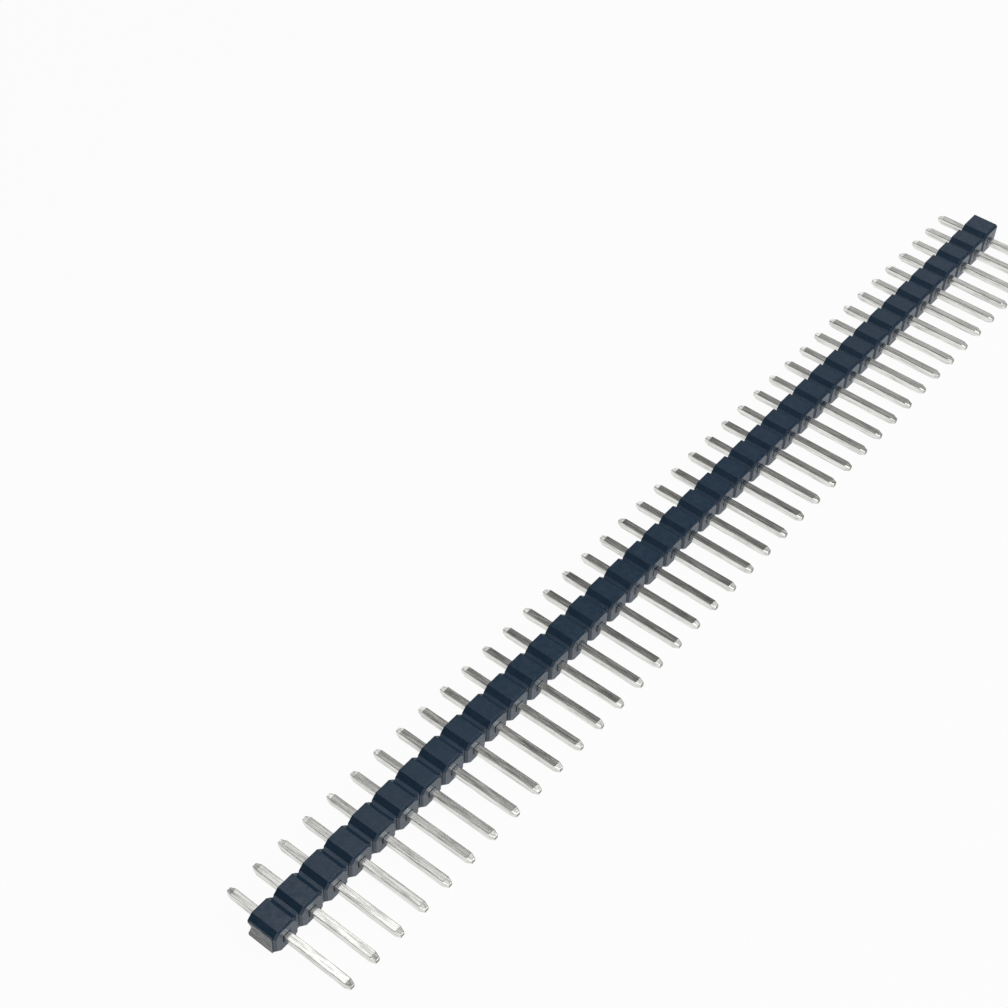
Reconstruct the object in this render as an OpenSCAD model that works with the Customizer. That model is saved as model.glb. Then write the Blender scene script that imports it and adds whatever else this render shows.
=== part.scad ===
// Single-row pin header strip: a moulded insulator in break-off cells, with a square post through each cell.
// It lies as a loose strip comes to rest, on the insulator's lower mating edge and the points of the long ends.
// Millimetres. +X runs along the row from post 1, +Y points to the short (board) ends, and +Z is up.
// The origin is on the resting surface, under the middle of the strip.

/* [Row] */
// Number of posts in the row
pin_count = 40; // [2:1:50]
// Distance from one post to the next
pitch = 2.54; // [2.5:0.01:2.6]

/* [Posts] */
// Side of the square post
pin_size = 0.64; // [0.5:0.01:0.7]
// Length of the board end, from the insulator's face to the tip
short_end = 3.0; // [2.2:0.1:4]
// Length of the mating end, from the insulator's face to the tip
long_end = 6.0; // [5:0.1:12]
// Length of the four-sided point on each end
tip_length = 0.45; // [0.3:0.05:0.8]
// Side of the square flat left on the end of the point
tip_flat = 0.38; // [0.2:0.02:0.46]

/* [Insulator] */
// Depth of the insulator along the posts
body_depth = 2.54; // [2.3:0.01:2.6]
// Height of the insulator across the posts
body_height = 2.5; // [2.3:0.01:2.54]
// Width of the flat panel on the top and the bottom of each cell
panel_width = 1.44; // [1.4:0.01:1.5]
// Size of the 45 degree chamfer beside each panel
chamfer = 0.46; // [0.42:0.01:0.48]
// Size of the small bevel round the mating face of each cell
edge_bevel = 0.18; // [0.08:0.01:0.2]
// Distance from the panels down to the web that joins the cells
web_drop = 0.38; // [0.2:0.01:0.4]
// How far the web stands back from the mating face
front_groove = 0.22; // [0.2:0.01:0.5]
// How far the web stands back from the board face
rear_groove = 0.1; // [0.05:0.01:0.4]

/* [Recess] */
// Side of the shallow square recess round each post in the mating face
recess_size = 0.76; // [0.74:0.01:1]
// Depth of the recess
recess_depth = 0.04; // [0.03:0.01:0.3]

/* [Snapped end] */
// Web left past the first cell, at the snapped face's lower edge
stub_low = 0.13; // [0.1:0.01:0.3]
// Web left past the first cell, at the snapped face's upper edge
stub_high = 0.08; // [0.02:0.01:0.1]
// Depth of the chip that broke out beside the board face
chip_depth = 0.4; // [0.2:0.01:0.5]
// How far the chip reaches into the first cell
chip_reach = 0.27; // [0.1:0.01:0.4]
// Height above the posts' axis at which the chip is deepest
chip_level = 0.38; // [0.1:0.01:0.6]

/* [Hidden] */

past = 1;
half_height = body_height / 2;
half_pin = pin_size / 2;
half_panel = panel_width / 2;
half_cell = half_panel + chamfer;
half_diagonal = (half_panel + half_height) / sqrt(2);
web_top = half_height - web_drop;
chip_top = half_height - chamfer;
first_x = -(pin_count - 1) * pitch / 2;
last_x = -first_x;
long_tip = -(body_depth + long_end);

// The strip leans on its lower mating edge until the underside of the long ends meets the surface
rest_edge = body_depth - edge_bevel;
rest_lean = atan((half_height - half_pin) / (-long_tip - tip_length - rest_edge));
rest_height = rest_edge * sin(rest_lean) + half_height * cos(rest_lean);
front_reach = -long_tip * cos(rest_lean) + tip_flat / 2 * sin(rest_lean);
rear_reach = short_end * cos(rest_lean) + tip_flat / 2 * sin(rest_lean);
rest_shift = (front_reach - rear_reach) / 2;
row_shift = (half_cell + stub_low - pitch / 2) / 2;

function pin_name(i) = str("pin_", i < 10 ? "0" : "", i);
function pin_x(i) = first_x + (i - 1) * pitch;

// From the strip's own axes, with the posts at z = 0 and the board face at y = 0, to the way it rests
module resting() {
    translate([row_shift, rest_shift, rest_height])
        rotate([rest_lean, 0, 0])
            children();
}

// Extrudes an outline drawn in X and Z, from y_low to y_high
module along_y(y_low, y_high) {
    translate([0, y_high, 0])
        rotate([90, 0, 0])
            linear_extrude(y_high - y_low)
                children();
}

// A slab as wide as one pair of a cell's sides, with its mating edges bevelled, turned about the post
module slab(half_width, turn) {
    rotate([0, turn, 0])
        linear_extrude(4 * half_height, center = true)
            polygon([
                [-half_width, 0],
                [-half_width, edge_bevel - body_depth],
                [edge_bevel - half_width, -body_depth],
                [half_width - edge_bevel, -body_depth],
                [half_width, edge_bevel - body_depth],
                [half_width, 0],
            ]);
}

// One eight-sided cell
module cell() {
    intersection() {
        slab(half_cell, 0);
        slab(half_diagonal, 45);
        slab(half_height, 90);
        slab(half_diagonal, 135);
    }
}

// The row of cells. The last cell ends square, where the strip was cut to length.
module cells() {
    for (i = [1:pin_count])
        translate([pin_x(i), 0, 0])
            cell();
    translate([last_x, 0, 0])
        intersection() {
            slab(half_height, 90);
            translate([0, -body_depth, -half_height])
                cube([pitch / 2, body_depth, body_height]);
        }
}

// The web that joins the cells, with the slanting face where the strip was snapped off
module web() {
    along_y(front_groove - body_depth, -rear_groove)
        polygon([
            [first_x - half_cell - stub_low, -web_top],
            [last_x, -web_top],
            [last_x, web_top],
            [first_x - half_cell - stub_high, web_top],
        ]);
}

// The chip that broke out of the snapped end beside the board face, as an outline in Y and Z
module lost_chip() {
    translate([first_x - half_cell - past, 0, 0])
        rotate([90, 0, 90])
            linear_extrude(past + chip_reach)
                polygon([
                    [past, chip_top],
                    [0, chip_top],
                    [-chip_depth, chip_level],
                    [0, -web_top],
                    [past, -web_top],
                ]);
}

// The moulded insulator, one piece from end to end
module insulator() {
    color([0.16, 0.2, 0.26])
        resting()
            difference() {
                union() {
                    cells();
                    web();
                }
                for (i = [1:pin_count])
                    translate([pin_x(i), 0]) {
                        along_y(-body_depth - past, past)
                            square(pin_size, center = true);
                        along_y(-body_depth - past, recess_depth - body_depth)
                            square(recess_size, center = true);
                    }
                lost_chip();
            }
}

// Outline of a post and its two points, with its length along Y
module post_outline() {
    polygon([
        [-half_pin, long_tip + tip_length],
        [-tip_flat / 2, long_tip],
        [tip_flat / 2, long_tip],
        [half_pin, long_tip + tip_length],
        [half_pin, short_end - tip_length],
        [tip_flat / 2, short_end],
        [-tip_flat / 2, short_end],
        [-half_pin, short_end - tip_length],
    ]);
}

// One square post, cut from both sides so that each end has a four-sided point
module pin(i) {
    color([0.72, 0.72, 0.7])
        resting()
            translate([pin_x(i), 0, 0])
                intersection() {
                    translate([0, 0, -half_pin])
                        linear_extrude(pin_size)
                            post_outline();
                    rotate([0, 90, 0])
                        translate([0, 0, -half_pin])
                            linear_extrude(pin_size)
                                post_outline();
                }
}

insulator();
for (i = [1:pin_count])
    pin(i);
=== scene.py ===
"""Pin header strip: a moulded insulator in break-off cells with a row of tin-plated square posts.

Sizes are millimetres in the strip's own axes: the posts lie at z = 0, the board face is at
y = 0 with the short ends beyond it, and x runs along the row. Every mesh is laid in the frame's
own axes, in metres, before its piece is made.
"""

from __future__ import annotations

import logging
import math
from dataclasses import dataclass, field
from enum import Enum

import bmesh
import bpy
from mathutils import Matrix, Vector, noise

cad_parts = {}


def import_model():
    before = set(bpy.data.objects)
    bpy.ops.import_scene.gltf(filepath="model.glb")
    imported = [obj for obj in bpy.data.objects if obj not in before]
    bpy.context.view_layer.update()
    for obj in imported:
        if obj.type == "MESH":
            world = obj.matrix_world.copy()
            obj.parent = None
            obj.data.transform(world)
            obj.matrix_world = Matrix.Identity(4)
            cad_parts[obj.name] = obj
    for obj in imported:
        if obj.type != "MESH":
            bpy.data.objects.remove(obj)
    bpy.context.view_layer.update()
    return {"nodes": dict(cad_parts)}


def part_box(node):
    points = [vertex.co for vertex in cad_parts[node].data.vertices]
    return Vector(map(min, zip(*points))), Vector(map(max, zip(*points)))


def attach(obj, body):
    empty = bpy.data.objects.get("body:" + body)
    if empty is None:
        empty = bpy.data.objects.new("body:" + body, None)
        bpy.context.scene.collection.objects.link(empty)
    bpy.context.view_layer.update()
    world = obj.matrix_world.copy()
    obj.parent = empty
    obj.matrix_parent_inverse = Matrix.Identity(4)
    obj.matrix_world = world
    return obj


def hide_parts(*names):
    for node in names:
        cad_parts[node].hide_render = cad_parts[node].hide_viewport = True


LOG = logging.getLogger("pin_header")
MM = 0.001
ROOT = "root"
# Places this near to each other, in millimetres, count as the same
TOUCH = 1e-4
# A normal this far along an axis counts as facing along it, or as leaning towards it
FACING = 0.9
LEANING = 0.5
# Faces across a chamfer and across a rounding
CHAMFERED = 1
ROUNDED = 2


class Finish(Enum):
    """The record's material slots."""

    PLASTIC = "insulator_plastic"
    TIN = "tin_plate"


class Channel(Enum):
    """The mesh attributes that the materials read."""

    SNAPPED = "snapped"
    # Marks the rounded edges, which the plastic paints darker as painted shade
    EDGE_SHADE = "painted_edge_shade"
    CUT = "cut_end"


@dataclass(frozen=True)
class Lie:
    """How the strip lies: on the lower edge of the mating face and the points of the long ends."""

    lean: float
    height: float
    shift: float

    def matrix(self) -> Matrix:
        """Returns the matrix from the strip's axes, in millimetres, to the frame's, in metres."""
        turn = Matrix.Rotation(self.lean, 4, "X")
        return Matrix.Scale(MM, 4) @ Matrix.Translation((0, self.shift, self.height)) @ turn


# ---------------------------------------------------------------- materials


class Nodes:
    """A node tree under construction."""

    def __init__(self, tree: bpy.types.NodeTree) -> None:
        """Empties a node tree.

        Args:
            tree: The tree.
        """
        self.tree = tree
        self.tree.nodes.clear()

    def node(self, kind: str, **settings: object) -> bpy.types.Node:
        """Adds a node and sets its properties.

        Args:
            kind: The node's type name.
            **settings: Properties of the node.

        Returns:
            The new node.
        """
        made = self.tree.nodes.new(kind)
        for key, value in settings.items():
            setattr(made, key, value)
        return made

    def link(self, source: bpy.types.NodeSocket, target: bpy.types.NodeSocket) -> None:
        """Joins an output to an input."""
        self.tree.links.new(source, target)

    def math(
        self,
        operation: str,
        first: bpy.types.NodeSocket,
        second: bpy.types.NodeSocket | float,
        third: bpy.types.NodeSocket | None = None,
    ) -> bpy.types.NodeSocket:
        """Adds a sum.

        Args:
            operation: The operation's name.
            first: The socket of the first value.
            second: The second value, or a socket that gives it.
            third: The socket of the third value, if the operation takes one.

        Returns:
            The socket of the result.
        """
        made = self.node("ShaderNodeMath", operation=operation)
        self.link(first, made.inputs[0])
        if isinstance(second, (int, float)):
            made.inputs[1].default_value = second
        else:
            self.link(second, made.inputs[1])
        if third is not None:
            self.link(third, made.inputs[2])
        return made.outputs["Value"]

    def spread(
        self,
        value: bpy.types.NodeSocket,
        low: float,
        high: float,
        to_low: float = 0.0,
        to_high: float = 1.0,
    ) -> bpy.types.NodeSocket:
        """Maps a value from one range to another and holds it there.

        Args:
            value: The value to map.
            low: The value that becomes to_low.
            high: The value that becomes to_high.
            to_low: The first end of the new range.
            to_high: The other end of the new range.

        Returns:
            The socket of the mapped value.
        """
        made = self.node("ShaderNodeMapRange", clamp=True)
        for key, number in (
            ("From Min", low),
            ("From Max", high),
            ("To Min", to_low),
            ("To Max", to_high),
        ):
            made.inputs[key].default_value = number
        self.link(value, made.inputs["Value"])
        return made.outputs["Result"]


class Surface(Nodes):
    """A node material under construction, with its pattern laid out in the strip's own axes."""

    def __init__(self, name: str, lean: float = 0.0) -> None:
        """Starts an empty material.

        Args:
            name: The material's name.
            lean: The angle about X that the patterns are turned by, in radians.
        """
        self.material = bpy.data.materials.new(name)
        self.material.use_nodes = True
        super().__init__(self.material.node_tree)
        self.lean = lean
        self.output = self.node("ShaderNodeOutputMaterial")

    def coordinates(self, stretch: tuple[float, float, float] = (1, 1, 1)) -> bpy.types.NodeSocket:
        """Gives coordinates in millimetres in the strip's axes.

        Args:
            stretch: How many times longer the pattern is along each axis.

        Returns:
            The socket of the coordinates.
        """
        place = self.node("ShaderNodeTexCoord")
        turn = self.node("ShaderNodeMapping", vector_type="TEXTURE")
        turn.inputs["Rotation"].default_value = (self.lean, 0, 0)
        turn.inputs["Scale"].default_value = [MM * s for s in stretch]
        self.link(place.outputs["Object"], turn.inputs["Vector"])
        return turn.outputs["Vector"]

    def noise(
        self,
        where: bpy.types.NodeSocket,
        scale: float,
        detail: float = 3.0,
        roughness: float = 0.5,
    ) -> bpy.types.NodeSocket:
        """Adds a noise texture.

        Args:
            where: The coordinates that it reads.
            scale: How many features there are to the millimetre.
            detail: The number of octaves.
            roughness: The weight of the finer octaves.

        Returns:
            The socket of its value.
        """
        made = self.node("ShaderNodeTexNoise")
        made.inputs["Scale"].default_value = scale
        made.inputs["Detail"].default_value = detail
        made.inputs["Roughness"].default_value = roughness
        self.link(where, made.inputs["Vector"])
        return made.outputs["Fac"]

    def blend(
        self,
        amount: bpy.types.NodeSocket,
        first: tuple[float, float, float] | bpy.types.NodeSocket,
        second: tuple[float, float, float] | bpy.types.NodeSocket,
        mode: str = "MIX",
    ) -> bpy.types.NodeSocket:
        """Mixes two colours.

        Args:
            amount: How much of the second shows, from 0 to 1.
            first: A colour or a socket that gives one.
            second: A colour or a socket that gives one.
            mode: The blend mode.

        Returns:
            The socket of the mixed colour.
        """
        made = self.node("ShaderNodeMix", data_type="RGBA", blend_type=mode)
        self.link(amount, made.inputs["Factor"])
        for key, colour in ((6, first), (7, second)):
            if isinstance(colour, tuple):
                made.inputs[key].default_value = (*colour, 1)
            else:
                self.link(colour, made.inputs[key])
        return made.outputs[2]

    def channel(self, name: Channel) -> bpy.types.NodeSocket:
        """Returns the socket of a mesh attribute's value."""
        return self.node("ShaderNodeAttribute", attribute_name=name.value).outputs["Fac"]

    def bump(
        self,
        height: bpy.types.NodeSocket,
        depth: float,
        under: bpy.types.NodeSocket | None = None,
    ) -> bpy.types.NodeSocket:
        """Adds a bump.

        Args:
            height: The socket of the height, from 0 to 1.
            depth: The depth of the bump in millimetres.
            under: The normal of a bump beneath this one.

        Returns:
            The socket of the normal.
        """
        made = self.node("ShaderNodeBump")
        made.inputs["Strength"].default_value = 1.0
        made.inputs["Distance"].default_value = depth * MM
        self.link(height, made.inputs["Height"])
        if under is not None:
            self.link(under, made.inputs["Normal"])
        return made.outputs["Normal"]


@dataclass(frozen=True)
class MouldedPlastic:
    """Dark blue-black moulding with a fine, slightly mottled skin and a paler snapped face."""

    colour: tuple[float, float, float] = (0.0118, 0.036, 0.070)
    pale: tuple[float, float, float] = (0.018, 0.045, 0.083)
    # Painted shade: a darker blue on the rounded edges, standing in for the dark rims they show in
    # shade
    edge_shade: tuple[float, float, float] = (0.005, 0.016, 0.034)
    snapped: tuple[float, float, float] = (0.17, 0.175, 0.17)
    roughness: float = 0.26
    smoother: float = 0.05
    rougher: float = 0.08
    ior: float = 1.54
    mottle_scale: float = 1.6
    mottle_range: tuple[float, float] = (0.35, 0.65)
    grit_scale: float = 6.0
    grit_range: tuple[float, float] = (0.3, 0.7)
    least_grit: float = 0.65
    patch_scale: float = 2.2
    patch_range: tuple[float, float] = (0.3, 0.7)
    flow_scale: float = 3.0
    flow_depth: float = 0.004
    grain_scale: float = 22.0
    grain_depth: float = 0.0004

    def build(self, lean: float) -> bpy.types.Material:
        """Makes the material.

        Args:
            lean: The strip's lean, in radians.

        Returns:
            The material.
        """
        surface = Surface("moulded_plastic", lean)
        where = surface.coordinates()
        mottle = surface.noise(where, self.mottle_scale, detail=4, roughness=0.6)
        skin = surface.blend(surface.spread(mottle, *self.mottle_range), self.colour, self.pale)
        # Painted shade: the rounded edges are darkened to stand in for the dark rims they show in
        # shade
        skin = surface.blend(surface.channel(Channel.EDGE_SHADE), skin, self.edge_shade)
        grit = surface.noise(where, self.grit_scale, detail=4, roughness=0.6)
        grit = surface.spread(grit, *self.grit_range, self.least_grit)
        rough_colour = surface.blend(grit, self.colour, self.snapped)
        colour = surface.blend(surface.channel(Channel.SNAPPED), skin, rough_colour)
        flow = surface.noise(where, self.flow_scale)
        grain = surface.noise(where, self.grain_scale, roughness=0.6)
        normal = surface.bump(flow, self.flow_depth)
        normal = surface.bump(grain, self.grain_depth, normal)
        patch = surface.spread(
            surface.noise(where, self.patch_scale),
            *self.patch_range,
            self.roughness - self.smoother,
            self.roughness + self.rougher,
        )
        shader = surface.node("ShaderNodeBsdfPrincipled")
        shader.inputs["IOR"].default_value = self.ior
        surface.link(colour, shader.inputs["Base Color"])
        surface.link(patch, shader.inputs["Roughness"])
        surface.link(normal, shader.inputs["Normal"])
        surface.link(shader.outputs["BSDF"], surface.output.inputs["Surface"])
        return surface.material


@dataclass(frozen=True)
class TinPlate:
    """Bright tin over drawn brass wire, with fine lines along the post and bare, dull cut ends."""

    colour: tuple[float, float, float] = (0.88, 0.88, 0.845)
    dull: tuple[float, float, float] = (0.50, 0.49, 0.47)
    bare: tuple[float, float, float] = (0.26, 0.24, 0.21)
    speck: tuple[float, float, float] = (0.10, 0.09, 0.08)
    roughness: float = 0.15
    smoother: float = 0.05
    rougher: float = 0.12
    drawn_out: float = 16.0
    line_scale: float = 7.0
    line_range: tuple[float, float] = (0.36, 0.58)
    line_depth: float = 0.003
    streak_scale: float = 9.0
    streak_range: tuple[float, float] = (0.38, 0.62)
    cloud_scale: float = 1.8
    cloud_range: tuple[float, float] = (0.35, 0.75)
    most_cloud: float = 0.5
    speck_scale: float = 5.5
    speck_range: tuple[float, float] = (0.77, 0.8)
    pit_scale: float = 12.0
    pit_depth: float = 0.0005

    def build(self, lean: float) -> bpy.types.Material:
        """Makes the material.

        Args:
            lean: The strip's lean, in radians.

        Returns:
            The material.
        """
        surface = Surface("tin_plate", lean)
        along = surface.coordinates((1, self.drawn_out, 1))
        where = surface.coordinates()
        lines = surface.noise(along, self.line_scale, detail=4, roughness=0.6)
        cloud = surface.noise(where, self.cloud_scale)
        cloud = surface.spread(cloud, *self.cloud_range, 0.0, self.most_cloud)
        dulled = surface.spread(lines, *self.line_range, 1.0, 0.0)
        tone = surface.blend(dulled, self.colour, self.dull)
        tone = surface.blend(cloud, tone, self.colour)
        specks = surface.noise(where, self.speck_scale, detail=2)
        tone = surface.blend(surface.spread(specks, *self.speck_range), tone, self.speck)
        tone = surface.blend(surface.channel(Channel.CUT), tone, self.bare)
        streaks = surface.spread(
            surface.noise(along, self.streak_scale, roughness=0.6),
            *self.streak_range,
            self.roughness - self.smoother,
            self.roughness + self.rougher,
        )
        pits = surface.noise(where, self.pit_scale, detail=4, roughness=0.7)
        normal = surface.bump(lines, self.line_depth)
        normal = surface.bump(pits, self.pit_depth, normal)
        shader = surface.node("ShaderNodeBsdfPrincipled")
        shader.inputs["Metallic"].default_value = 1.0
        surface.link(tone, shader.inputs["Base Color"])
        surface.link(streaks, shader.inputs["Roughness"])
        surface.link(normal, shader.inputs["Normal"])
        surface.link(shader.outputs["BSDF"], surface.output.inputs["Surface"])
        return surface.material


@dataclass(frozen=True)
class WhiteTable:
    """A plain white table that keeps a faint shadow."""

    paper: tuple[float, float, float] = (0.9, 0.91, 0.92)
    glow: tuple[float, float, float] = (0.99, 0.992, 0.99)
    seen: float = 0.965
    mirrored: float = 0.80

    def build(self) -> bpy.types.Material:
        """Makes the material and returns it."""
        surface = Surface("white_table")
        paper = surface.node("ShaderNodeBsdfDiffuse")
        paper.inputs["Color"].default_value = (*self.paper, 1)
        glow = surface.node("ShaderNodeEmission")
        glow.inputs["Color"].default_value = (*self.glow, 1)
        path = surface.node("ShaderNodeLightPath").outputs
        share = surface.math("MULTIPLY", path["Is Camera Ray"], self.seen)
        share = surface.math("MULTIPLY_ADD", path["Is Glossy Ray"], self.mirrored, share)
        mix = surface.node("ShaderNodeMixShader")
        surface.link(share, mix.inputs["Fac"])
        surface.link(paper.outputs["BSDF"], mix.inputs[1])
        surface.link(glow.outputs["Emission"], mix.inputs[2])
        surface.link(mix.outputs["Shader"], surface.output.inputs["Surface"])
        return surface.material


# ---------------------------------------------------------------- meshes


class Shape:
    """A mesh under construction, in the strip's axes and in millimetres."""

    def __init__(self) -> None:
        """Starts an empty mesh."""
        self.bm = bmesh.new()

    def block(self, low: Vector, high: Vector) -> list[bmesh.types.BMVert]:
        """Adds a box.

        Args:
            low: Its lowest corner.
            high: Its highest corner.

        Returns:
            The box's corners.
        """
        place = Matrix.Translation((low + high) / 2) @ Matrix.Diagonal((*(high - low), 1))
        return bmesh.ops.create_cube(self.bm, size=1, matrix=place)["verts"]

    def cut(
        self,
        through: Vector,
        across: Vector,
        faces: list[bmesh.types.BMFace] | None = None,
    ) -> None:
        """Draws the line where a plane meets the surface.

        Args:
            through: A point of the plane.
            across: The plane's normal.
            faces: The faces to cut, or all of them.
        """
        chosen = list(self.bm.faces) if faces is None else faces
        edges = dict.fromkeys(edge for face in chosen for edge in face.edges)
        verts = dict.fromkeys(vert for face in chosen for vert in face.verts)
        bmesh.ops.bisect_plane(
            self.bm,
            geom=[*chosen, *edges, *verts],
            dist=TOUCH / 10,
            plane_co=through,
            plane_no=across,
        )

    def bevel(
        self, edges: list[bmesh.types.BMEdge], size: float, segments: int
    ) -> list[bmesh.types.BMFace]:
        """Bevels edges.

        Args:
            edges: The edges.
            size: How far the bevel reaches from each edge.
            segments: The number of faces across the bevel.

        Returns:
            The faces of the bevel.
        """
        made = bmesh.ops.bevel(
            self.bm,
            geom=edges,
            offset=size,
            offset_type="OFFSET",
            affect="EDGES",
            segments=segments,
            profile=0.5,
            material=-1,
            clamp_overlap=True,
        )
        return made["faces"]

    def sharp(self, angle: float) -> list[bmesh.types.BMEdge]:
        """Returns the edges whose faces meet at more than an angle in radians."""
        return [e for e in self.bm.edges if len(e.link_faces) == 2 and e.calc_face_angle(0) > angle]

    def merge(self, distance: float) -> None:
        """Merges vertices that lie within a distance of each other and drops what that flattens."""
        bmesh.ops.remove_doubles(self.bm, verts=self.bm.verts[:], dist=distance)
        bmesh.ops.dissolve_degenerate(self.bm, edges=self.bm.edges[:], dist=distance)

    def order_faces(self) -> None:
        """Sorts the faces by place, because bevels leave them in another order each run."""
        ordered = sorted(self.bm.faces, key=lambda face: face.calc_center_median()[:])
        for rank, face in enumerate(ordered):
            face.index = rank
        self.bm.faces.sort()

    def finish(self, name: str, lie: Lie, material: bpy.types.Material) -> bpy.types.Object:
        """Lays the mesh in the frame and makes its object.

        Args:
            name: The piece's name.
            lie: How the strip lies.
            material: The piece's material.

        Returns:
            The object, at the origin, with its place in its mesh.
        """
        bmesh.ops.transform(self.bm, matrix=lie.matrix(), verts=self.bm.verts[:])
        bmesh.ops.recalc_face_normals(self.bm, faces=self.bm.faces[:])
        self.order_faces()
        mesh = bpy.data.meshes.new(name)
        self.bm.to_mesh(mesh)
        self.bm.free()
        mesh.materials.append(material)
        piece = bpy.data.objects.new(name, mesh)
        bpy.context.scene.collection.objects.link(piece)
        return piece


@dataclass
class Post:
    """One square post with a four-sided point on each end."""

    x: float
    size: float = 0.64
    board_end: float = 3.0
    mating_end: float = 8.54
    tip: float = 0.45
    flat: float = 0.38
    rounding: float = 0.05
    tip_rounding: float = 0.025
    corner_angle: float = math.radians(40)
    rim_angle: float = math.radians(12)
    cut_facing: float = 0.6

    def build(self, name: str, lie: Lie, material: bpy.types.Material) -> bpy.types.Object:
        """Makes the post.

        Args:
            name: The piece's name.
            lie: How the strip lies.
            material: The tin plate.

        Returns:
            The post's object.
        """
        shape = Shape()
        half = self.size / 2
        shape.block(
            Vector((self.x - half, -self.mating_end, -half)),
            Vector((self.x + half, self.board_end, half)),
        )
        self._point_ends(shape)
        self._soften_edges(shape)
        layer = shape.bm.faces.layers.float.new(Channel.CUT.value)
        for face in shape.bm.faces:
            if abs(face.normal.y) > self.cut_facing:
                face[layer] = 1.0
        return shape.finish(name, lie, material)

    def _point_ends(self, shape: Shape) -> None:
        """Narrows both ends of the post to a four-sided point.

        Args:
            shape: The post.
        """
        for y in (self.tip - self.mating_end, self.board_end - self.tip):
            shape.cut(Vector((0, y, 0)), Vector((0, 1, 0)))
        low, high = self.tip / 2 - self.mating_end, self.board_end - self.tip / 2
        narrow = self.flat / self.size
        bmesh.ops.scale(
            shape.bm,
            vec=(narrow, 1, narrow),
            space=Matrix.Translation((-self.x, 0, 0)),
            verts=[v for v in shape.bm.verts if not low <= v.co.y <= high],
        )

    def _soften_edges(self, shape: Shape) -> None:
        """Rounds the post's long edges, and more finely the rims of its points.

        Args:
            shape: The post.
        """
        long_edges = [
            e
            for e in shape.sharp(self.corner_angle)
            if abs((e.verts[0].co - e.verts[1].co).normalized().y) > FACING
        ]
        shape.bevel(long_edges, self.rounding, ROUNDED)
        rims = [
            e
            for e in shape.sharp(self.rim_angle)
            if abs(e.verts[0].co.y - e.verts[1].co.y) < TOUCH
        ]
        shape.bevel(rims, self.tip_rounding, ROUNDED)


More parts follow.
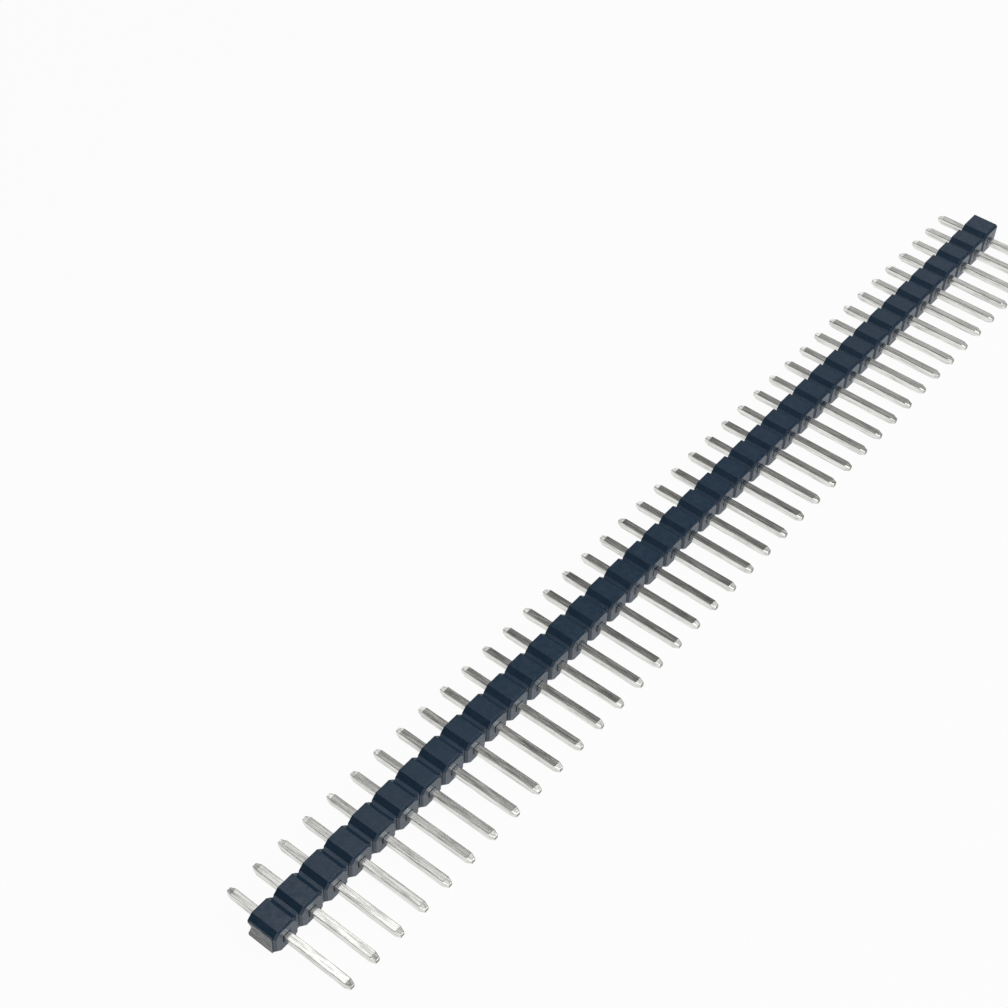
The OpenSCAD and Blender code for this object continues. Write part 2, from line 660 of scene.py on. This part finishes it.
@dataclass
class Insulator:
    """The moulded insulator: break-off cells joined by webs, snapped at one end."""

    posts: list[float]
    depth: float = 2.54
    height: float = 2.5
    panel: float = 1.44
    chamfer: float = 0.46
    mating_bevel: float = 0.18
    web_drop: float = 0.38
    front_groove: float = 0.22
    rear_groove: float = 0.1
    bore: float = 0.64
    recess: float = 0.76
    recess_depth: float = 0.04
    stub_low: float = 0.13
    stub_high: float = 0.08
    stub_lip: float = 0.1
    chip_depth: float = 0.4
    chip_reach: float = 0.27
    chip_level: float = 0.38
    chip_seed: int = 5
    chip_grain: float = 5.0
    chip_roughness: float = 0.03
    snap_grain: tuple[float, float] = (2.2, 6.0)
    snap_contrast: float = 1.4
    snap_roughness: float = 0.05
    snap_rim_roughness: float = 0.02
    rounding: float = 0.03
    rounded_angle: float = math.radians(30)
    pitch: float = 2.54
    shape: Shape = field(default_factory=Shape)

    @property
    def half_cell(self) -> float:
        """Half the width of a cell."""
        return self.panel / 2 + self.chamfer

    @property
    def web_top(self) -> float:
        """Half the height of a web."""
        return self.height / 2 - self.web_drop

    @property
    def weld(self) -> float:
        """How near two places of the rounded mesh are merged."""
        return self.rounding / 100

    def cell(self, x: float, squared: bool) -> None:
        """Adds one cell with its bore and its recess.

        Args:
            x: The place of its post.
            squared: Whether its far side is cut square.
        """
        part = Shape()
        half = self.height / 2
        far = self.pitch / 2 if squared else self.half_cell
        part.block(Vector((-self.half_cell, -self.depth, -half)), Vector((far, 0, half)))
        corners = [
            e
            for e in part.bm.edges
            if abs(e.verts[0].co.y - e.verts[1].co.y) > self.depth / 2
            and not (squared and e.verts[0].co.x > 0)
        ]
        part.bevel(corners, self.chamfer, CHAMFERED)
        mating = [
            e
            for e in part.bm.edges
            if all(v.co.y < -self.depth + TOUCH for v in e.verts)
            and not (squared and all(v.co.x > far - TOUCH for v in e.verts))
        ]
        part.bevel(mating, self.mating_bevel, CHAMFERED)
        self._open_sides(part, squared)
        self._sink_bore(part)
        bmesh.ops.translate(part.bm, vec=(x, 0, 0), verts=part.bm.verts[:])
        held = bpy.data.meshes.new("cell")
        part.bm.to_mesh(held)
        part.bm.free()
        self.shape.bm.from_mesh(held)
        bpy.data.meshes.remove(held)

    def _open_sides(self, part: Shape, squared: bool) -> None:
        """Opens the sides of a cell where its webs join it.

        Args:
            part: The cell.
            squared: Whether its far side stays closed.
        """
        sides = (-1,) if squared else (-1, 1)
        front = self.front_groove - self.depth
        for side in sides:
            for y in (front, -self.rear_groove):
                part.cut(Vector((0, y, 0)), Vector((0, 1, 0)), self._flank(part, side))
            for z in (self.web_top, -self.web_top):
                part.cut(Vector((0, 0, z)), Vector((0, 0, 1)), self._flank(part, side))
            gone = []
            for face in self._flank(part, side):
                middle = face.calc_center_median()
                if front < middle.y < -self.rear_groove and abs(middle.z) < self.web_top:
                    gone.append(face)
            bmesh.ops.delete(part.bm, geom=gone, context="FACES")

    def _flank(self, part: Shape, side: int) -> list[bmesh.types.BMFace]:
        """Returns the faces of a cell's side and its chamfers. Side is -1 or 1 along the row."""
        return [
            f
            for f in part.bm.faces
            if side * f.calc_center_median().x > self.panel / 2 and side * f.normal.x > LEANING
        ]

    @staticmethod
    def _flats(part: Shape, end: float) -> list[bmesh.types.BMFace]:
        """Returns the flat faces of a cell that lie at one place along the post."""
        return [
            f
            for f in part.bm.faces
            if abs(f.calc_center_median().y - end) < TOUCH and abs(f.normal.y) > FACING
        ]

    def _sink_bore(self, part: Shape) -> None:
        """Cuts the square hole for the post, with the recess round it in the mating face.

        Args:
            part: The cell.
        """
        ends = (-self.depth, 0.0)
        for end in ends:
            for axis in (Vector((1, 0, 0)), Vector((0, 0, 1))):
                for reach in (-self.recess / 2, self.recess / 2):
                    part.cut(axis * reach, axis, self._flats(part, end))
        rims = []
        ledge = (self.recess - self.bore) / 2
        for end in ends:
            middle = Vector((0, end, 0))
            mouth = min(
                self._flats(part, end), key=lambda f: (f.calc_center_median() - middle).length
            )
            if end < 0:
                bmesh.ops.inset_individual(
                    part.bm, faces=[mouth], thickness=0, depth=-self.recess_depth
                )
            bmesh.ops.inset_individual(part.bm, faces=[mouth], thickness=ledge, depth=0)
            rims.extend(mouth.edges)
            bmesh.ops.delete(part.bm, geom=[mouth], context="FACES_ONLY")
        bmesh.ops.bridge_loops(part.bm, edges=rims)

    def _open_rim(self, low: float, high: float) -> list[bmesh.types.BMEdge]:
        """Returns the open edges between two places along the row."""
        return [
            e
            for e in self.shape.bm.edges
            if e.is_boundary and all(low < v.co.x < high for v in e.verts)
        ]

    def join_cells(self) -> None:
        """Bridges each pair of neighbouring cells with a web."""
        for left, right in zip(self.posts, self.posts[1:]):
            bmesh.ops.bridge_loops(self.shape.bm, edges=self._open_rim(left, right))

    def soften_edges(self) -> None:
        """Rounds the moulded edges and marks them for the painted edge shade, a darker rim that
        stands in for shade.
        """
        bm = self.shape.bm
        layer = bm.faces.layers.float.new(Channel.EDGE_SHADE.value)
        sharp = self.shape.sharp(self.rounded_angle)
        for face in self.shape.bevel(sharp, self.rounding, ROUNDED):
            face[layer] = 1.0
        self.shape.merge(self.weld)

    def close_snapped_end(self) -> None:
        """Draws the stub of web past the first cell and roughens the face where it snapped."""
        bm = self.shape.bm
        first = self.posts[0]
        rim = self._open_rim(first - 2 * self.half_cell, first)
        layer = bm.faces.layers.float.new(Channel.SNAPPED.value)
        drawn = bmesh.ops.extrude_edge_only(bm, edges=rim)["geom"]
        edges = [e for e in drawn if isinstance(e, bmesh.types.BMEdge)]
        lowest = first - self.half_cell - self.stub_low
        for vert in drawn:
            if isinstance(vert, bmesh.types.BMVert):
                share = (vert.co.z + self.web_top) / (2 * self.web_top)
                vert.co.x = lowest + share * (self.stub_low - self.stub_high)
        face = bmesh.ops.contextual_create(bm, geom=edges)["faces"][0]
        face[layer] = 1.0
        lip = [e for e in face.edges if all(v.co.z < TOUCH - self.web_top for v in e.verts)]
        for skin in self.shape.bevel(lip, self.stub_lip, ROUNDED):
            skin[layer] = 0.0
        columns, half_rows = 16, 7
        for step in range(1, columns):
            faces = [f for f in bm.faces if f[layer] > 0]
            place = Vector((0, -self.depth * step / columns, 0))
            self.shape.cut(place, Vector((0, 1, 0)), faces)
        for step in range(1 - half_rows, half_rows):
            faces = [f for f in bm.faces if f[layer] > 0]
            place = Vector((0, 0, self.web_top * step / half_rows))
            self.shape.cut(place, Vector((0, 0, 1)), faces)
        self._roughen_snap(layer)

    def _roughen_snap(self, layer: bmesh.types.BMLayerItem) -> None:
        """Sinks the snapped face by a coarse and a fine noise, less along its rim.

        Args:
            layer: The face layer that marks what is snapped.
        """
        coarse, fine = self.snap_grain
        for vert in self.shape.bm.verts:
            snapped = [f[layer] > 0 for f in vert.link_faces]
            if any(snapped):
                depth = self.snap_roughness if all(snapped) else self.snap_rim_roughness
                rise = noise.noise(vert.co * coarse) + 0.5 * noise.noise(vert.co * fine)
                rise = max(-1.0, min(1.0, rise * self.snap_contrast))
                vert.co.x += depth * (0.5 + 0.5 * rise)

    def _chip(self) -> Shape:
        """Returns the rough wedge that broke out of the snapped end beside the board face."""
        wedge = Shape()
        past = 1.0
        outer = self.posts[0] - self.half_cell - past
        corner = self.height / 2 - self.chamfer
        outline = (
            (past, corner),
            (0, corner),
            (-self.chip_depth, self.chip_level),
            (0, -self.web_top),
            (past, -self.web_top),
        )
        sides = len(outline)
        bmesh.ops.create_cone(
            wedge.bm, cap_ends=True, segments=sides, radius1=1, radius2=1, depth=2
        )
        for vert in wedge.bm.verts:
            turn = math.atan2(vert.co.x, vert.co.y) / math.tau
            x = outer if vert.co.z < 0 else outer + past + self.chip_reach
            vert.co = (x, *outline[round(turn * sides) % sides])
        # The rows are counted to the millimetre, the columns and the slices to the wedge
        length, columns, rows, slices = 1.3, 12, 9, 5
        for step in range(1, columns):
            wedge.cut(Vector((outer + length * step / columns, 0, 0)), Vector((1, 0, 0)))
        for step in range(1 - rows, rows - 2):
            wedge.cut(Vector((0, 0, step / rows)), Vector((0, 0, 1)))
        for step in range(1, slices):
            wedge.cut(Vector((0, -self.chip_depth * step / slices, 0)), Vector((0, 1, 0)))
        noise.seed_set(self.chip_seed)
        for vert in wedge.bm.verts:
            vert.co += self.chip_roughness * noise.noise_vector(vert.co * self.chip_grain)
        bmesh.ops.triangulate(wedge.bm, faces=wedge.bm.faces[:])
        layer = wedge.bm.faces.layers.float.new(Channel.SNAPPED.value)
        for face in wedge.bm.faces:
            face[layer] = 1.0
        bmesh.ops.recalc_face_normals(wedge.bm, faces=wedge.bm.faces[:])
        return wedge

    def break_chip(self) -> None:
        """Breaks the chip out of the insulator and leaves no many-sided faces where it broke."""
        held = []
        for name, shape in (("insulator_whole", self.shape), ("chip", self._chip())):
            bmesh.ops.recalc_face_normals(shape.bm, faces=shape.bm.faces[:])
            shape.order_faces()
            mesh = bpy.data.meshes.new(name)
            shape.bm.to_mesh(mesh)
            shape.bm.free()
            held.append(bpy.data.objects.new(name, mesh))
            bpy.context.scene.collection.objects.link(held[-1])
        whole, chip = held
        broken = whole.modifiers.new("broken", "BOOLEAN")
        broken.operation, broken.solver, broken.object = "DIFFERENCE", "EXACT", chip
        graph = bpy.context.evaluated_depsgraph_get()
        left = bpy.data.meshes.new_from_object(whole.evaluated_get(graph))
        self.shape = Shape()
        self.shape.bm.from_mesh(left)
        self.shape.merge(self.weld)
        reached = self.posts[0] - self.half_cell + self.chip_reach
        many_sided = [
            f
            for f in self.shape.bm.faces
            if len(f.verts) > 4 and f.calc_center_median().x < reached
        ]
        bmesh.ops.triangulate(self.shape.bm, faces=many_sided, ngon_method="BEAUTY")
        for item in held:
            mesh = item.data
            bpy.data.objects.remove(item)
            bpy.data.meshes.remove(mesh)
        bpy.data.meshes.remove(left)

    def build(self, lie: Lie, material: bpy.types.Material) -> bpy.types.Object:
        """Makes the insulator.

        Args:
            lie: How the strip lies.
            material: The moulded plastic.

        Returns:
            The insulator's object.
        """
        last = self.posts[-1]
        for x in self.posts:
            self.cell(x, squared=x == last)
        self.join_cells()
        self.soften_edges()
        self.close_snapped_end()
        self.break_chip()
        return self.shape.finish("insulator_body", lie, material)


@dataclass
class Strip:
    """The whole strip, built round the frame's nodes."""

    nodes: list[str]
    body_node: str = "insulator"
    pieces: list[bpy.types.Object] = field(default_factory=list)

    def post_nodes(self) -> list[str]:
        """Returns the names of the posts' nodes, in their order along the row."""
        return sorted(n for n in self.nodes if n != self.body_node)

    @staticmethod
    def middle(node: str) -> Vector:
        """Returns the middle of a node's box, in millimetres."""
        low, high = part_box(node)
        return (low + high) / 2 / MM

    def lie(self) -> Lie:
        """Returns how the strip lies, from the sizes of its posts and its insulator."""
        post = Post(0)
        edge = Insulator([])
        rise = edge.height / 2 - post.size / 2
        pivot = edge.depth - edge.mating_bevel
        lean = math.atan(rise / (post.mating_end - post.tip - pivot))
        height = pivot * math.sin(lean) + edge.height / 2 * math.cos(lean)
        low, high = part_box(self.post_nodes()[0])
        flat = post.flat / 2 * math.sin(lean)
        shift = high.y / MM - post.board_end * math.cos(lean) - flat
        return Lie(lean, height, shift)

    def build(self) -> None:
        """Makes every piece, in order, and hangs it on the frame."""
        lie = self.lie()
        plastic = MouldedPlastic().build(lie.lean)
        tin = TinPlate().build(lie.lean)
        places = [self.middle(n).x for n in self.post_nodes()]
        body = Insulator(places).build(lie, plastic)
        self.hang(body, self.body_node)
        for node, x in zip(self.post_nodes(), places):
            post = Post(x).build(node.replace("pin", "post"), lie, tin)
            self.hang(post, node)

    def hang(self, piece: bpy.types.Object, node: str) -> None:
        """Lets a piece stand for a node.

        Args:
            piece: The piece.
            node: The node that it replaces.
        """
        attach(piece, ROOT)
        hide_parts(node)
        self.pieces.append(piece)
        LOG.info("%s: %d faces", piece.name, len(piece.data.polygons))


# ---------------------------------------------------------------- studio


@dataclass(frozen=True)
class Softbox:
    """A rectangular lamp that looks at a point. Places are millimetres."""

    name: str
    place: tuple[float, float, float]
    aim: tuple[float, float, float]
    size: tuple[float, float]
    radiance: float
    colour: tuple[float, float, float] = (1, 1, 1)

    def build(self) -> None:
        """Makes the lamp."""
        lamp = bpy.data.lights.new(self.name, "AREA")
        lamp.shape = "RECTANGLE"
        lamp.size, lamp.size_y = (s * MM for s in self.size)
        lamp.color = self.colour
        lamp.energy = self.radiance * math.pi * lamp.size * lamp.size_y
        holder = bpy.data.objects.new(self.name, lamp)
        holder.location = Vector(self.place) * MM
        look = (Vector(self.aim) - Vector(self.place)).to_track_quat("-Z", "Y")
        holder.rotation_euler = look.to_euler()
        bpy.context.scene.collection.objects.link(holder)


@dataclass(frozen=True)
class Camera:
    """The camera. Places are millimetres and the roll is in degrees."""

    place: tuple[float, float, float] = (-92.41, -66.17, 103.64)
    target: tuple[float, float, float] = (-5.62, 16.82, 0.00)
    roll: float = -7.215
    lens: float = 65.66

    def build(self) -> None:
        """Makes the camera and gives it to the scene."""
        data = bpy.data.cameras.new("camera")
        data.lens = self.lens
        data.clip_start, data.clip_end = 0.001, 20
        camera = bpy.data.objects.new("camera", data)
        camera.location = Vector(self.place) * MM
        look = (Vector(self.target) - Vector(self.place)).to_track_quat("-Z", "Y")
        turned = look.to_matrix() @ Matrix.Rotation(math.radians(self.roll), 3, "Z")
        camera.rotation_euler = turned.to_euler()
        bpy.context.scene.collection.objects.link(camera)
        bpy.context.scene.camera = camera


@dataclass(frozen=True)
class Studio:
    """The table, the lamps, and a dim room with a window high above and paler walls to the right.

    The room's light is a ramp of levels from -X to +X. It fades towards the horizon and towards
    the front, and the window is a narrow lobe on top of it. The camera sees a plain pale backdrop.
    """

    table_half: float = 3.0
    horizon: tuple[float, float, float, float] = (0.05, 0.45, 0.1, 1.0)
    front: tuple[float, float, float, float] = (-0.42, -0.30, 0.4, 1.0)
    levels: tuple[tuple[float, float], ...] = (
        (-1.0, 0.12),
        (-0.62, 0.14),
        (-0.42, 0.45),
        (-0.20, 0.45),
        (0.0, 0.22),
        (0.22, 0.20),
        (0.30, 0.40),
        (0.36, 0.40),
        (0.43, 0.18),
        (0.60, 0.18),
        (0.67, 0.27),
        (0.72, 0.62),
        (0.78, 1.10),
        (0.86, 0.30),
        (1.0, 0.06),
    )
    lamps: tuple[Softbox, ...] = (
        Softbox("front", (10, -290, 260), (0, 0, 0), (400, 230), 3.3),
        Softbox("side", (168, -122, 300), (168, -122, 0), (170, 56), 0.86),
        Softbox("back", (330, 326, 300), (330, 326, 0), (410, 120), 0.93),
    )
    window: tuple[float, float, float] = (0.285, 0.15, 0.947)
    window_level: float = 3.3
    window_narrowness: float = 180.0
    walls: tuple[float, float, float] = (0.8, 0.8, 0.8)
    backdrop: tuple[float, float, float] = (0.965, 0.967, 0.965)

    def build(self) -> None:
        """Makes the studio."""
        self._table()
        self._room()
        for lamp in self.lamps:
            lamp.build()
        bpy.context.scene.view_settings.view_transform = "Standard"

    def _table(self) -> None:
        """Lays the white table under the strip."""
        bm = bmesh.new()
        bmesh.ops.create_grid(bm, x_segments=1, y_segments=1, size=self.table_half)
        mesh = bpy.data.meshes.new("table")
        bm.to_mesh(mesh)
        bm.free()
        mesh.materials.append(WhiteTable().build())
        table = bpy.data.objects.new("table", mesh)
        bpy.context.scene.collection.objects.link(table)

    def _room(self) -> None:
        """Lights the room by its levels, and shows the camera the plain backdrop instead."""
        world = bpy.data.worlds.new("room")
        bpy.context.scene.world = world
        world.use_nodes = True
        room = Nodes(world.node_tree)
        toward = room.node("ShaderNodeTexCoord").outputs["Generated"]
        light = room.node("ShaderNodeBackground")
        light.inputs["Color"].default_value = (*self.walls, 1)
        room.link(self._level(room, toward), light.inputs["Strength"])
        backdrop = room.node("ShaderNodeBackground")
        backdrop.inputs["Color"].default_value = (*self.backdrop, 1)
        backdrop.inputs["Strength"].default_value = 1.0
        seen = room.node("ShaderNodeMixShader")
        path = room.node("ShaderNodeLightPath")
        room.link(path.outputs["Is Camera Ray"], seen.inputs["Fac"])
        room.link(light.outputs["Background"], seen.inputs[1])
        room.link(backdrop.outputs["Background"], seen.inputs[2])
        output = room.node("ShaderNodeOutputWorld")
        room.link(seen.outputs["Shader"], output.inputs["Surface"])

    def _level(self, room: Nodes, toward: bpy.types.NodeSocket) -> bpy.types.NodeSocket:
        """Works out how strongly the room shines from each direction.

        Args:
            room: The room's node tree.
            toward: The socket of the direction.

        Returns:
            The socket of the strength.
        """
        split = room.node("ShaderNodeSeparateXYZ")
        room.link(toward, split.inputs["Vector"])
        ramp = room.node("ShaderNodeValToRGB")
        room.link(room.spread(split.outputs["X"], -1.0, 1.0), ramp.inputs["Fac"])
        stops = ramp.color_ramp.elements
        while len(stops) < len(self.levels):
            stops.new(0.5)
        for stop, (side, level) in zip(stops, self.levels):
            stop.position = (side + 1) / 2
            stop.color = (level, level, level, 1)
        rise = room.spread(split.outputs["Z"], *self.horizon)
        ahead = room.spread(split.outputs["Y"], *self.front)
        level = room.math("MULTIPLY", ramp.outputs["Color"], room.math("MULTIPLY", rise, ahead))
        facing = room.node("ShaderNodeVectorMath", operation="DOT_PRODUCT")
        facing.inputs[1].default_value = Vector(self.window).normalized()
        room.link(toward, facing.inputs[0])
        lobe = room.math("MAXIMUM", facing.outputs["Value"], 0.0)
        lobe = room.math("POWER", lobe, self.window_narrowness)
        return room.math("MULTIPLY_ADD", lobe, self.window_level, level)


def main() -> None:
    """Builds the strip, its studio and its camera."""
    logging.basicConfig(level=logging.INFO, format="%(name)s %(message)s")
    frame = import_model()
    Camera().build()
    Studio().build()
    Strip(sorted(frame["nodes"])).build()


if __name__ == "__main__":
    main()
